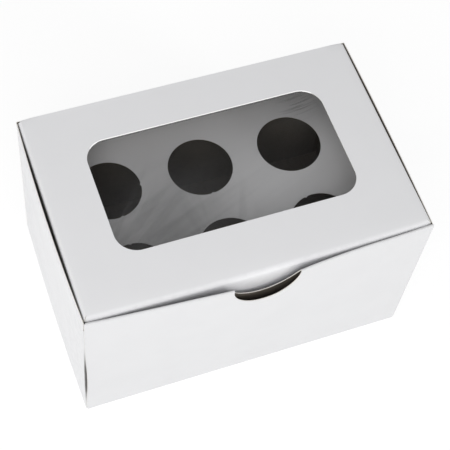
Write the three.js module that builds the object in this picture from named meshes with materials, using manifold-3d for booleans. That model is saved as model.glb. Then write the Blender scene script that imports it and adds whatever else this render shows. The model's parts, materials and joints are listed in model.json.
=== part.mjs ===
// Cone holder box: a white paperboard carton with a windowed lid and a raised insert with round
// holes, in which filled cones stand upright.
//
// Units are millimetres, +Z is up, and the origin is at the underside, in the middle of the outer
// box. The front faces -Y. It is a double wall whose top edge is rolled over and cut by a finger
// notch. The back wall carries the lid on a fold along X.

import * as THREE from 'three';
import { mergeVertices } from 'three/addons/utils/BufferGeometryUtils.js';
import Module from 'manifold-3d';

const wasm = await Module();
wasm.setup();

// Driving sizes of the carton
const width = 229;
const depth = 150;
const height = 135;
const board = 0.5;
const clearance = 0.3;

// Folds, as radii of the board's middle line
const creaseRadius = 0.8;
const rollRadius = 0.5;
const sideFoldRadius = 2.4;
const tuckFoldRadius = 2.9;
const facetsPerFold = 4;

// Front wall: its top edge stands out in the middle, and its inner panel springs back inwards
const frontBow = 6.6;
const bowRounding = 18;
const bowSteps = 28;
const innerPanelDepth = 38;
const innerPanelSpring = 3.5;
const innerPanelEndGap = 2;
const frontWallEndGap = 0.4;
const notchRadius = 22;
const notchDrop = 1;

// Corner flaps, folded from the side walls behind the front wall and inside the back wall
const cornerFlapLength = 55;
const cornerFlapDrop = 11;
const cornerFlapSlope = THREE.MathUtils.degToRad(16);
const cornerFlapFoot = 1.5;

// Lid flaps
const sideFlapDepth = 34;
const sideFlapTaper = THREE.MathUtils.degToRad(12);
const sideFlapRearGap = 1.2;
const tuckDepth = 36;
const tuckLean = THREE.MathUtils.degToRad(8);
const tuckInset = 10;
const tuckTaper = THREE.MathUtils.degToRad(9);
const flapCornerRadius = 8;
const hingeSetback = 0.1;

// Window and its film
const windowWidth = 161;
const windowDepth = 83;
const windowCornerRadius = 14.5;
const windowToFront = 37.4;
const windowShift = 0.6;
const filmOverlap = 8;
const filmCornerRadius = 3;
const filmThickness = 0.15;
const glueLine = 0.05;

// Insert
const deckHeight = 94;
const holeDiameter = 44;
const holePitch = 64.3;
const holeColumns = 3;
const holeRows = 2;
const insertPlay = 2;
const insertShift = -1.6;

const facetsPerCircle = 48;
const facetsPerCorner = 6;

// Sizes that follow from these
const wallTop = height - board - clearance;
const rollCentreY = -depth / 2 + board / 2 + rollRadius;
const rollFoldLevel = wallTop - board / 2 - rollRadius;
const rollThickness = 2 * rollRadius + board;
const lidFrontY = -depth / 2 + rollThickness + clearance;
const lidBackY = depth / 2 - hingeSetback;
const lidHalfWidth = width / 2 - board - clearance;
const windowCentreY = -windowToFront + windowDepth / 2;

// How far a cutting solid runs on past the rolled front edge
const cutterMargin = 2 * rollThickness;

// Length of the lid panel that the tuck flap's own strip shares, three times its fold radius
const tuckRootLength = 3 * tuckFoldRadius;

// Corners closer than this are one corner
const weldDistance = 1e-4;

// Shape helpers

// Middle line of a bent sheet: straight runs between the corners, with an arc at each fold.
// A corner is [u, v, foldRadius], and the two ends need no radius.
function foldedLine(corners) {
  const line = [];
  corners.forEach(([u, v, radius], index) => {
    const corner = new THREE.Vector2(u, v);
    if (!radius) {
      line.push(corner);
      return;
    }
    const before = new THREE.Vector2(...corners[index - 1]).sub(corner).normalize();
    const after = new THREE.Vector2(...corners[index + 1]).sub(corner).normalize();
    const turn = Math.PI - Math.acos(before.dot(after));
    const reach = radius * Math.tan(turn / 2);
    const toCentre = before.clone().add(after).normalize().multiplyScalar(Math.hypot(reach, radius));
    const centre = corner.clone().add(toCentre);
    const start = before.clone().multiplyScalar(reach).add(corner).sub(centre);
    const side = Math.sign(after.cross(before));
    for (let step = 0; step <= facetsPerFold; step += 1) {
      const angle = (side * turn * step) / facetsPerFold;
      line.push(start.clone().rotateAround(new THREE.Vector2(), angle).add(centre));
    }
  });
  return line;
}

// Closed outline of a sheet of the given thickness along that middle line
function sheetOutline(corners, thickness) {
  const line = foldedLine(corners);
  const sides = [[], []];
  line.forEach((point, index) => {
    const next = line[Math.min(index + 1, line.length - 1)];
    const previous = line[Math.max(index - 1, 0)];
    const ahead = next.clone().sub(point);
    const behind = point.clone().sub(previous);
    const along = ahead.lengthSq() > 0 ? ahead.normalize() : behind.clone().normalize();
    const back = behind.lengthSq() > 0 ? behind.normalize() : along;
    const middle = along.clone().add(back).normalize();
    const offset = thickness / 2 / middle.dot(along);
    const normal = new THREE.Vector2(-middle.y, middle.x).multiplyScalar(offset);
    sides[0].push(point.clone().add(normal));
    sides[1].unshift(point.clone().sub(normal));
  });
  return new THREE.Shape([...sides[0], ...sides[1]]);
}

// Prism of an outline drawn in the YZ, XZ or XY plane, from one place to another along the third axis
function prism(outline, plane, from, to, steps = 1) {
  const options = { depth: to - from, steps, bevelEnabled: false, curveSegments: facetsPerCorner };
  const geometry = new THREE.ExtrudeGeometry(outline, options);
  const x = new THREE.Vector3(1, 0, 0);
  const y = new THREE.Vector3(0, 1, 0);
  const z = new THREE.Vector3(0, 0, 1);
  const frames = { YZ: [y, z, x], XZ: [x, z, y.clone().negate()], XY: [x, y, z] };
  const [across, up, along] = frames[plane];
  const start = plane === 'XZ' ? to : from;
  const place = new THREE.Matrix4().makeBasis(across, up, along);
  geometry.applyMatrix4(place);
  geometry.translate(...new THREE.Vector3().addScaledVector(along, plane === 'XZ' ? -start : start));
  return geometry;
}

// Closed geometry as a solid that can be joined and cut
function solid(geometry) {
  const bare = geometry.clone();
  bare.deleteAttribute('normal');
  bare.deleteAttribute('uv');
  const merged = mergeVertices(bare, weldDistance);
  const mesh = new wasm.Mesh({
    numProp: 3,
    vertProperties: new Float32Array(merged.attributes.position.array),
    triVerts: new Uint32Array(merged.index.array),
  });
  return new wasm.Manifold(mesh);
}

// That prism as a solid
function solidPrism(outline, plane, from, to) {
  return solid(prism(outline, plane, from, to));
}

// Rectangle or trapezium with rounded corners, from corner points in order
function roundedOutline(points) {
  const outline = new THREE.Shape();
  points.forEach(([u, v, radius = 0], index) => {
    const corner = new THREE.Vector2(u, v);
    if (!radius) {
      if (index === 0) outline.moveTo(u, v);
      else outline.lineTo(u, v);
      return;
    }
    const before = new THREE.Vector2(...points[(index + points.length - 1) % points.length]).sub(corner);
    const after = new THREE.Vector2(...points[(index + 1) % points.length]).sub(corner);
    const half = Math.acos(before.normalize().dot(after.normalize())) / 2;
    const reach = radius / Math.tan(half);
    const start = before.multiplyScalar(reach).add(corner);
    const end = after.multiplyScalar(reach).add(corner);
    if (index === 0) outline.moveTo(start.x, start.y);
    else outline.lineTo(start.x, start.y);
    const toCentre = start.clone().add(end).multiplyScalar(0.5).sub(corner);
    const centre = corner.clone().add(toCentre.setLength(radius / Math.sin(half)));
    const from = start.clone().sub(centre).angle();
    const to = end.clone().sub(centre).angle();
    const clockwise = start.clone().sub(centre).cross(end.clone().sub(centre)) < 0;
    outline.absarc(centre.x, centre.y, radius, from, to, clockwise);
  });
  outline.closePath();
  return outline;
}

// Rectangle about a centre, with four equal round corners
function roundedRectangle(centreX, centreY, sizeX, sizeY, radius) {
  const [x, y] = [sizeX / 2, sizeY / 2];
  return roundedOutline([
    [centreX - x, centreY - y, radius],
    [centreX + x, centreY - y, radius],
    [centreX + x, centreY + y, radius],
    [centreX - x, centreY + y, radius],
  ]);
}

// Circle as a regular polygon
function circle(centreU, centreV, radius) {
  const outline = new THREE.Shape();
  for (let step = 0; step < facetsPerCircle; step += 1) {
    const angle = (2 * Math.PI * step) / facetsPerCircle;
    const [u, v] = [centreU + radius * Math.cos(angle), centreV + radius * Math.sin(angle)];
    if (step === 0) outline.moveTo(u, v);
    else outline.lineTo(u, v);
  }
  outline.closePath();
  return outline;
}

// Named mesh of a solid, in its own finish
function meshOf(name, piece, material) {
  const { vertProperties, triVerts } = piece.getMesh();
  const geometry = new THREE.BufferGeometry();
  geometry.setAttribute('position', new THREE.BufferAttribute(new Float32Array(vertProperties), 3));
  geometry.setIndex(new THREE.BufferAttribute(new Uint32Array(triVerts), 1));
  geometry.computeVertexNormals();
  const mesh = new THREE.Mesh(geometry, material);
  mesh.name = name;
  return mesh;
}

// Box body: one sheet with base, walls, rolled front and corner flaps

// How far the front wall's top edge stands out at a place along X
function bowAt(x) {
  const reach = width / 2;
  const rounded = (distance) => Math.hypot(distance, bowRounding) - bowRounding;
  return Math.max(0, frontBow * (1 - rounded(x) / rounded(reach)));
}

// The back wall, base, front wall and inner front panel are one strip, bent in the YZ plane
function wallStrip() {
  const outerY = -depth / 2 + board / 2;
  const backY = depth / 2 - board / 2;
  const outline = sheetOutline([
    [backY, wallTop],
    [backY, board / 2, creaseRadius],
    [outerY, board / 2, creaseRadius],
    [outerY, wallTop - board / 2, rollRadius],
    [outerY + 2 * rollRadius, wallTop - board / 2, rollRadius],
    [outerY + 2 * rollRadius, rollFoldLevel - innerPanelDepth],
  ], board);
  const halfLength = width / 2 - frontWallEndGap;
  const strip = prism(outline, 'YZ', -halfLength, halfLength, bowSteps);
  const place = strip.attributes.position;
  for (let index = 0; index < place.count; index += 1) {
    const [x, y, z] = [place.getX(index), place.getY(index), place.getZ(index)];
    if (y < rollCentreY + rollThickness) {
      const inner = y > rollCentreY && z > rollFoldLevel - innerPanelDepth - board;
      const drop = Math.max(0, rollFoldLevel - z);
      const below = inner ? drop / innerPanelDepth : drop / rollFoldLevel;
      const spring = inner ? innerPanelSpring * below : 0;
      place.setY(index, y - bowAt(x) * Math.max(0, 1 - below) + spring);
    }
  }
  return solid(strip);
}

// One side wall with its two corner flaps, bent in plan. side is -1 on the left and 1 on the right.
function sideWall(side) {
  const wallX = side * (width / 2 - board / 2);
  const flapX = side * (width / 2 - cornerFlapLength);
  const frontY = -depth / 2 + board + clearance + board / 2;
  const backY = depth / 2 - board - board / 2;
  const bent = sheetOutline([
    [flapX, frontY],
    [wallX, frontY, creaseRadius],
    [wallX, backY, creaseRadius],
    [flapX, backY],
  ], board);
  const wall = solidPrism(bent, 'XY', cornerFlapFoot, wallTop);
  return wall.subtract(flapTrim(side));
}

// What is cut away above the corner flaps, so that they slope down from the side wall
function flapTrim(side) {
  const rootX = side * (width / 2 - board - creaseRadius);
  const tipX = side * (width / 2 - cornerFlapLength - board);
  const rootZ = wallTop - cornerFlapDrop;
  const tipZ = rootZ - Math.abs(rootX - tipX) * Math.tan(cornerFlapSlope);
  const above = new THREE.Shape([
    new THREE.Vector2(rootX, rootZ),
    new THREE.Vector2(tipX, tipZ),
    new THREE.Vector2(tipX, height),
    new THREE.Vector2(rootX, height),
  ]);
  return solidPrism(above, 'XZ', -depth / 2, depth / 2);
}

// The base again, with the folds that join it to the two side walls
function baseStrip() {
  const wallX = width / 2 - board / 2;
  const joinHeight = cornerFlapFoot + 2 * creaseRadius;
  const outline = sheetOutline([
    [-wallX, joinHeight],
    [-wallX, board / 2, creaseRadius],
    [wallX, board / 2, creaseRadius],
    [wallX, joinHeight],
  ], board);
  const frontY = -depth / 2 + board + clearance + creaseRadius + board / 2;
  const backY = depth / 2 - board - creaseRadius - board / 2;
  return solidPrism(outline, 'XZ', frontY, backY);
}

// The inner panel is a little shorter than the wall, to pass between the side walls
function innerPanelTrim(side) {
  const panelEnd = side * (width / 2 - innerPanelEndGap);
  const wallEnd = side * width;
  const nearY = rollCentreY + board / 2;
  const farY = nearY + cutterMargin + innerPanelSpring;
  const lowZ = rollFoldLevel - innerPanelDepth - board;
  const ends = new THREE.Shape([
    new THREE.Vector2(nearY, lowZ),
    new THREE.Vector2(farY, lowZ),
    new THREE.Vector2(farY, height),
    new THREE.Vector2(nearY, height),
  ]);
  return solidPrism(ends, 'YZ', Math.min(panelEnd, wallEnd), Math.max(panelEnd, wallEnd));
}

// The round cutter that notches both layers of the front wall
function fingerNotch() {
  const outline = circle(0, wallTop - notchDrop, notchRadius);
  const outside = -depth / 2 - frontBow - rollThickness;
  const inside = -depth / 2 + rollThickness + cutterMargin + innerPanelSpring;
  return solidPrism(outline, 'XZ', outside, inside);
}

// The whole sheet of the body
function boxBody() {
  const strip = wallStrip()
    .subtract(innerPanelTrim(-1))
    .subtract(innerPanelTrim(1))
    .subtract(fingerNotch());
  return strip.add(baseStrip()).add(sideWall(-1)).add(sideWall(1));
}

// Lid: one panel with a side flap at each end and a tuck flap at the front

// Lid panel with its two side flaps, bent in the XZ plane and trimmed to their tapered outline
function lidPanel() {
  const flapX = lidHalfWidth - board / 2;
  const panelZ = height - board / 2;
  const tipZ = height - sideFlapDepth;
  const bent = sheetOutline([
    [-flapX, tipZ],
    [-flapX, panelZ, sideFoldRadius],
    [flapX, panelZ, sideFoldRadius],
    [flapX, tipZ],
  ], board);
  const frontY = lidFrontY + tuckFoldRadius;
  const strip = solidPrism(bent, 'XZ', frontY, lidBackY);
  const flapTop = height - sideFoldRadius - board;
  const flapRearY = depth / 2 - 2 * board - sideFlapRearGap;
  const taper = (flapTop - tipZ) * Math.tan(sideFlapTaper);
  const panelUnderside = height - board;
  const cover = roundedOutline([
    [lidBackY, height + board],
    [lidBackY, panelUnderside],
    [flapRearY, panelUnderside],
    [flapRearY - taper, tipZ, flapCornerRadius],
    [frontY + taper, tipZ, flapCornerRadius],
    [frontY, flapTop],
    [frontY, height + board],
  ]);
  return strip.intersect(solidPrism(cover, 'YZ', -width, width));
}

// Tuck flap, bent in the YZ plane and trimmed to its tapered outline
function tuckFlap() {
  const frontY = lidFrontY + board / 2;
  const panelZ = height - board / 2;
  const bent = sheetOutline([
    [lidFrontY + tuckRootLength, panelZ],
    [frontY, panelZ, tuckFoldRadius],
    [frontY + tuckDepth * Math.sin(tuckLean), panelZ - tuckDepth * Math.cos(tuckLean)],
  ], board);
  const foldEnd = lidHalfWidth - sideFoldRadius - board;
  const strip = solidPrism(bent, 'YZ', -foldEnd, foldEnd);
  const flapTop = height - tuckFoldRadius - board;
  const tipZ = panelZ - tuckDepth;
  const shoulder = foldEnd - tuckInset;
  const tip = shoulder - (flapTop - tipZ) * Math.tan(tuckTaper);
  const cover = roundedOutline([
    [-foldEnd - board, height + board],
    [-foldEnd - board, flapTop],
    [-shoulder, flapTop],
    [-tip, tipZ, flapCornerRadius],
    [tip, tipZ, flapCornerRadius],
    [shoulder, flapTop],
    [foldEnd + board, flapTop],
    [foldEnd + board, height + board],
  ]);
  return strip.intersect(solidPrism(cover, 'XZ', -depth, 0));
}

// Lid panel and tuck flap, less the window
function lid() {
  const outline = roundedRectangle(windowShift, windowCentreY, windowWidth, windowDepth, windowCornerRadius);
  const opening = solidPrism(outline, 'XY', height - 2 * board, height + board);
  return lidPanel().add(tuckFlap()).subtract(opening);
}

// Film, glued under the lid panel round the window
function windowFilm() {
  const sizeX = windowWidth + 2 * filmOverlap;
  const sizeY = windowDepth + 2 * filmOverlap;
  const outline = roundedRectangle(windowShift, windowCentreY, sizeX, sizeY, filmCornerRadius);
  const top = height - board - glueLine;
  return solidPrism(outline, 'XY', top - filmThickness, top);
}

// Insert: a deck with six holes on two legs, which stand on the base at the front and back
function coneInsert() {
  const frontY = -depth / 2 + 2 * board + 2 * clearance + board / 2;
  const backY = depth / 2 - 2 * board - clearance - board / 2;
  const footZ = board + clearance;
  const deckZ = deckHeight - board / 2;
  const bent = sheetOutline([
    [frontY, footZ],
    [frontY, deckZ, creaseRadius],
    [backY, deckZ, creaseRadius],
    [backY, footZ],
  ], board);
  const halfLength = width / 2 - board - insertPlay;
  let insert = solidPrism(bent, 'YZ', insertShift - halfLength, insertShift + halfLength);
  const centreY = (frontY + backY) / 2;
  for (let column = 0; column < holeColumns; column += 1) {
    for (let row = 0; row < holeRows; row += 1) {
      const x = insertShift + (column - (holeColumns - 1) / 2) * holePitch;
      const y = centreY + (row - (holeRows - 1) / 2) * holePitch;
      const hole = circle(x, y, holeDiameter / 2);
      insert = insert.subtract(solidPrism(hole, 'XY', deckHeight - 2 * board, deckHeight + board));
    }
  }
  return insert;
}

// Finishes

const whiteBoard = new THREE.MeshStandardMaterial({ color: 0xe9eaec, roughness: 0.6, metalness: 0 });
const lidBoard = new THREE.MeshStandardMaterial({ color: 0xe6e7e9, roughness: 0.55, metalness: 0 });
const insertBoard = new THREE.MeshStandardMaterial({ color: 0xdcdddf, roughness: 0.65, metalness: 0 });
const clearFilm = new THREE.MeshStandardMaterial({
  color: 0xf4f6f8, roughness: 0.1, metalness: 0, transparent: true, opacity: 0.25,
});

// Assembly

const lidGroup = new THREE.Group();
lidGroup.add(meshOf('lid', lid(), lidBoard));
lidGroup.add(meshOf('window_film', windowFilm(), clearFilm));

const coneHolderBox = new THREE.Group();
coneHolderBox.add(meshOf('box_body', boxBody(), whiteBoard));
coneHolderBox.add(meshOf('cone_insert', coneInsert(), insertBoard));
coneHolderBox.add(lidGroup);

// The walls are drawn about the base's middle, and the whole then moves to stand over the middle of
// its outer box, which the front wall's bow makes deeper than the base
const outerBox = new THREE.Box3().setFromObject(coneHolderBox);
coneHolderBox.position.y = -(outerBox.min.y + outerBox.max.y) / 2;

export default coneHolderBox;
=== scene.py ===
"""Looks of the cone holder box: a white paperboard carton with a windowed lid and a holed insert.

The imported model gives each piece's outer size and place, and the fields here repeat its folds. Each
sheet is modelled once more with finer folds, the sway of thin board, and a finish for each side.
"""

import json
import logging
import math
from dataclasses import dataclass, field
from enum import Enum, IntEnum
from functools import cached_property
from typing import Callable, Iterable, Sequence

import bpy
from mathutils import Matrix, Vector

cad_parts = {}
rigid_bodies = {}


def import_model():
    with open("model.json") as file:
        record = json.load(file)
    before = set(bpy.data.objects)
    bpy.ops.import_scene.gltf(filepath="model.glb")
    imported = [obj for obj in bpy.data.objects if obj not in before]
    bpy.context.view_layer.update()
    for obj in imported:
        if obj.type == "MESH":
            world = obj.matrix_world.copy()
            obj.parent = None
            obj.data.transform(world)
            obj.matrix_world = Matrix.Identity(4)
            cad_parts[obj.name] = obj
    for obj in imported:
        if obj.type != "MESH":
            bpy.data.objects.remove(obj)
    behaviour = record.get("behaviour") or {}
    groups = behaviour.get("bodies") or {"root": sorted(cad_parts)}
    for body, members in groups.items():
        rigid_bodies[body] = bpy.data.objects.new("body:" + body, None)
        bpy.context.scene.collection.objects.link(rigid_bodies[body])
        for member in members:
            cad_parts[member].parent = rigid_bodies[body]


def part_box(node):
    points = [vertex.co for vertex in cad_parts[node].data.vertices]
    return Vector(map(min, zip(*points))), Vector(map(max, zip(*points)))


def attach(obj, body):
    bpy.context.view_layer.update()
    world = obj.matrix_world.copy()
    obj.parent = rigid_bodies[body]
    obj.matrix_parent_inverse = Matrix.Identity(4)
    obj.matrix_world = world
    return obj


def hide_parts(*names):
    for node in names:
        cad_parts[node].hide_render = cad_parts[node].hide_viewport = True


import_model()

log = logging.getLogger("cone_holder_box")

MM = 0.001
TOUCH = 1e-6  # Two places nearer than this are the same.
NEAR = 1e-5  # A looser test, for points that a fold has moved.
ROUND_FACETS = 96
CORNER_FACETS = 14
DIE_HEIGHT = 8 * MM

Pair = tuple[float, float]
Triple = tuple[float, float, float]
Test = Callable[[Vector], bool]
Move = Callable[[Vector], Vector]
EdgeTest = Callable[[bpy.types.MeshEdge], bool]


class Axis(Enum):
    """The three directions of the carton's own frame."""

    X = (1.0, 0.0, 0.0)
    Y = (0.0, 1.0, 0.0)
    Z = (0.0, 0.0, 1.0)


class Body(Enum):
    """The moving bodies that a piece can ride on."""

    BOX = "box"
    LID = "lid"


class Side(Enum):
    """The left and right halves of the carton, seen from the front."""

    LEFT = -1.0
    RIGHT = 1.0


class BoardSlot(IntEnum):
    """The order of the finishes on a thickened sheet."""

    WHITE = 0
    BACK = 1
    EDGE = 2
    RIM = 3


# Shader maths


class Reading:
    """One output of a shader node, with arithmetic that adds Math nodes to its recipe."""

    def __init__(self, recipe: "Recipe", socket: bpy.types.NodeSocket) -> None:
        """Keeps the socket and the recipe that it belongs to."""
        self.recipe = recipe
        self.socket = socket

    def _math(self, operation: str, first: object, second: object = None) -> "Reading":
        """Adds one Math node, with one value or two."""
        values = {0: first} if second is None else {0: first, 1: second}
        return self.recipe.node("ShaderNodeMath", {"operation": operation}, values)

    def __add__(self, other: object) -> "Reading":
        """Sum."""
        return self._math("ADD", self, other)

    __radd__ = __add__

    def __mul__(self, other: object) -> "Reading":
        """Product."""
        return self._math("MULTIPLY", self, other)

    __rmul__ = __mul__

    def __sub__(self, other: object) -> "Reading":
        """Difference."""
        return self._math("SUBTRACT", self, other)

    def __rsub__(self, other: object) -> "Reading":
        """Difference from a number, so that 1 - mask works."""
        return self._math("SUBTRACT", other, self)

    def __pow__(self, other: object) -> "Reading":
        """Power."""
        return self._math("POWER", self, other)

    def __abs__(self) -> "Reading":
        """Size without sign."""
        return self._math("ABSOLUTE", self)

    def least(self, other: object) -> "Reading":
        """The smaller of this and another value."""
        return self._math("MINIMUM", self, other)

    def most(self, other: object) -> "Reading":
        """The larger of this and another value."""
        return self._math("MAXIMUM", self, other)

    def turn(self, other: object) -> "Reading":
        """The angle of a point whose height is this and whose run is the other, in radians."""
        return self._math("ARCTAN2", self, other)

    def ramp(self, low: float, high: float) -> "Reading":
        """Goes smoothly from 0 at low to 1 at high."""
        settings = {"interpolation_type": "SMOOTHSTEP"}
        return self.recipe.node("ShaderNodeMapRange", settings, {0: self, 1: low, 2: high})


class Recipe:
    """The node tree of one material, written as expressions."""

    def __init__(self, name: str) -> None:
        """Makes an empty material.

        Args:
            name: The material's name.
        """
        self.material = bpy.data.materials.new(name)
        self.material.use_nodes = True
        self.tree = self.material.node_tree
        self.tree.nodes.clear()

    def node(self, kind: str, settings: dict, inputs: dict, output: object = 0) -> Reading:
        """Adds a node of any type.

        Args:
            kind: The node's type.
            settings: Its own settings, such as a Math node's operation.
            inputs: Its sockets by name or number, each a reading, a number or a colour.
            output: The socket to read, by name or number.

        Returns:
            That output.
        """
        made = self.tree.nodes.new(kind)
        for key, value in settings.items():
            setattr(made, key, value)
        for key, value in inputs.items():
            if isinstance(value, Reading):
                self.tree.links.new(value.socket, made.inputs[key])
            else:
                made.inputs[key].default_value = value
        return Reading(self, made.outputs[output])

    def place(self) -> Reading:
        """The point on the piece, in metres."""
        return self.node("ShaderNodeTexCoord", {}, {}, "Object")

    def stretched(self, scale: Sequence[float], turn: Sequence[float] = (0, 0, 0)) -> Reading:
        """The point on the piece, turned and then scaled along each direction."""
        turned = self.node("ShaderNodeMapping", {}, {"Vector": self.place(), "Rotation": turn})
        return self.node("ShaderNodeMapping", {}, {"Vector": turned, "Scale": scale})

    def axis(self, axis: Axis) -> Reading:
        """One coordinate of the point on the piece, in metres."""
        return self.node("ShaderNodeSeparateXYZ", {}, {0: self.place()}, axis.name)

    def away(self, x: float, y: float) -> tuple[Reading, Reading, Reading]:
        """How far the point on the piece is from an upright line.

        Args:
            x: The line's place along X.
            y: Its place along Y.

        Returns:
            The distance along X, along Y and straight, in metres.
        """
        across = self.axis(Axis.X) - x
        along = self.axis(Axis.Y) - y
        return across, along, (across * across + along * along) ** 0.5

    def noise(self, scale: float, detail: float = 3.0, at: Reading | None = None) -> Reading:
        """Cloudy noise from 0 to 1, about one feature for each 1/scale metres."""
        inputs = {"Vector": at or self.place(), "Scale": scale, "Detail": detail}
        return self.node("ShaderNodeTexNoise", {}, inputs, "Fac")

    def blend(self, amount: object, first: object, second: object) -> Reading:
        """Mixes two colours, through the colour sockets of a Mix node."""
        return self.node("ShaderNodeMix", {"data_type": "RGBA"}, {0: amount, 6: first, 7: second}, 2)

    def bump(self, height: Reading, distance: float, under: Reading | None = None) -> Reading:
        """A normal bent by a relief.

        Args:
            height: The relief, from 0 to 1.
            distance: How tall it is, in metres.
            under: A bent normal that it lies on, or None.

        Returns:
            The bent normal.
        """
        inputs = {"Height": height, "Distance": distance}
        if under is not None:
            inputs["Normal"] = under
        return self.node("ShaderNodeBump", {}, inputs)

    def finish(self, inputs: dict) -> bpy.types.Material:
        """Finishes the material with one main shader, given the inputs of that."""
        return self.surface(self.node("ShaderNodeBsdfPrincipled", {}, inputs))

    def surface(self, shader: Reading) -> bpy.types.Material:
        """Finishes the material with any shader.

        Args:
            shader: The shader that the surface shows.

        Returns:
            The material.
        """
        output = self.tree.nodes.new("ShaderNodeOutputMaterial")
        self.tree.links.new(shader.socket, output.inputs["Surface"])
        return self.material


def colour(red: float, green: float, blue: float) -> tuple[float, float, float, float]:
    """An opaque colour."""
    return (red, green, blue, 1.0)


# Finishes


@dataclass(frozen=True)
class SlitShadow:
    """A dark line painted along an upright fold: painted shade standing in for the shadow in the slit
    beside it.
    """

    x: float
    y: float
    z: float
    half_length: float
    radius: float
    solid_share: float = 0.6
    full_share: float = 0.2

    def mask(self, recipe: Recipe) -> Reading:
        """Its strength on the surface.

        Args:
            recipe: The recipe that the mask is for.

        Returns:
            A mask from 1 along its middle to 0 at its rim and its two ends.
        """
        _, _, off = recipe.away(self.x, self.y)
        up = abs(recipe.axis(Axis.Z) - self.z)
        beside = 1 - off.ramp(self.solid_share * self.radius, self.radius)
        return beside * (1 - up.ramp(self.full_share * self.half_length, self.half_length))


@dataclass(frozen=True)
class CoatedBoard:
    """The clay-coated white side of the board: smooth, faintly mottled, rubbed along its creases, with any
    slit shadows painted on as dark lines.

    The shares say how much mottle, the second noise and wear dull or roughen the coating.
    """

    name: str
    base: Triple = (0.865, 0.866, 0.878)
    shade: Triple = (0.80, 0.80, 0.815)
    # Near-black tone of the painted slit shadows.
    slit_shadow_tone: Triple = (0.07, 0.066, 0.062)
    roughness: float = 0.36
    specular: float = 0.5
    creases: tuple[tuple[Axis, float], ...] = ()
    crease_width: float = 2.2 * MM
    slit_shadows: tuple[SlitShadow, ...] = ()
    mottle_scale: float = 42.0
    mottle_range: Pair = (0.35, 0.75)
    fleck_scale: float = 900.0
    fleck_stretch: Triple = (1, 0.45, 1)
    fleck_range: Pair = (0.62, 0.82)
    grain_scale: float = 1530.0
    grain_height: float = 0.006 * MM
    sway_scale: float = 14.0
    sway_height: float = 0.05 * MM
    wear_scale: float = 210.0
    wear_range: Pair = (0.38, 0.68)
    dull_shares: Triple = (0.15, 0.10, 0.55)
    rough_shares: Triple = (0.05, 0.06, 0.12)

    def material(self) -> bpy.types.Material:
        """Builds the finish.

        Returns:
            The material.
        """
        recipe = Recipe(self.name)
        mottle = recipe.noise(self.mottle_scale, 4.0).ramp(*self.mottle_range)
        stretched = recipe.stretched(self.fleck_stretch)
        flecks = recipe.noise(self.fleck_scale, 2.0, stretched).ramp(*self.fleck_range)
        grain = recipe.noise(self.grain_scale, 4.0)
        worn = self.worn(recipe)
        by_mottle, by_flecks, by_wear = self.dull_shares
        dull = (mottle * by_mottle + flecks * by_flecks + worn * by_wear).least(1.0)
        tint = recipe.blend(dull, colour(*self.base), colour(*self.shade))
        # Painted shade: each slit shadow darkens the white nearly to black.
        for slit_shadow in self.slit_shadows:
            tint = recipe.blend(slit_shadow.mask(recipe), tint, colour(*self.slit_shadow_tone))
        by_mottle, by_grain, by_wear = self.rough_shares
        rough = self.roughness + mottle * by_mottle + grain * by_grain + worn * by_wear
        sway = recipe.bump(recipe.noise(self.sway_scale, 1.0), self.sway_height)
        relief = recipe.bump(grain, self.grain_height, sway)
        return recipe.finish(
            {"Base Color": tint, "Roughness": rough, "Normal": relief, "Specular IOR Level": self.specular}
        )

    def worn(self, recipe: Recipe) -> Reading:
        """How rubbed the coating is near a crease, broken up along its length.

        Args:
            recipe: The recipe that the mask is for.

        Returns:
            A mask from 0 to 1.
        """
        patchy = recipe.noise(self.wear_scale).ramp(*self.wear_range)
        mask = patchy * 0.0
        for axis, place in self.creases:
            distance = abs(recipe.axis(axis) - place)
            mask = mask.most((1 - distance.ramp(0.0, self.crease_width)) * patchy)
        return mask


@dataclass(frozen=True)
class KraftBack:
    """The uncoated brown-grey back of the board, with its fibres and darker specks.

    The shares say how much the clouds, fibres and specks darken it.
    """

    name: str
    base: Triple = (0.235, 0.21, 0.18)
    shade: Triple = (0.165, 0.148, 0.125)
    roughness: float = 0.86
    fibre_roughness: float = 0.08
    specular: float = 0.25
    cloud_scale: float = 60.0
    cloud_range: Pair = (0.3, 0.75)
    fibre_scale: float = 700.0
    fibre_stretch: Triple = (1, 0.18, 1)
    fibre_range: Pair = (0.45, 0.75)
    speck_scale: float = 1300.0
    speck_range: Pair = (0.68, 0.78)
    dark_shares: Triple = (0.35, 0.4, 0.5)
    relief_scale: float = 1100.0
    relief_height: float = 0.03 * MM

    def material(self) -> bpy.types.Material:
        """Builds the finish.

        Returns:
            The material.
        """
        recipe = Recipe(self.name)
        cloud = recipe.noise(self.cloud_scale, 5.0).ramp(*self.cloud_range)
        stretched = recipe.stretched(self.fibre_stretch)
        fibres = recipe.noise(self.fibre_scale, 3.0, stretched).ramp(*self.fibre_range)
        specks = recipe.noise(self.speck_scale, 1.0).ramp(*self.speck_range)
        by_cloud, by_fibres, by_specks = self.dark_shares
        dark = (cloud * by_cloud + fibres * by_fibres + specks * by_specks).least(1.0)
        tint = recipe.blend(dark, colour(*self.base), colour(*self.shade))
        relief = recipe.bump(recipe.noise(self.relief_scale, 4.0), self.relief_height)
        rough = self.roughness + fibres * self.fibre_roughness
        return recipe.finish(
            {"Base Color": tint, "Roughness": rough, "Normal": relief, "Specular IOR Level": self.specular}
        )


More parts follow.
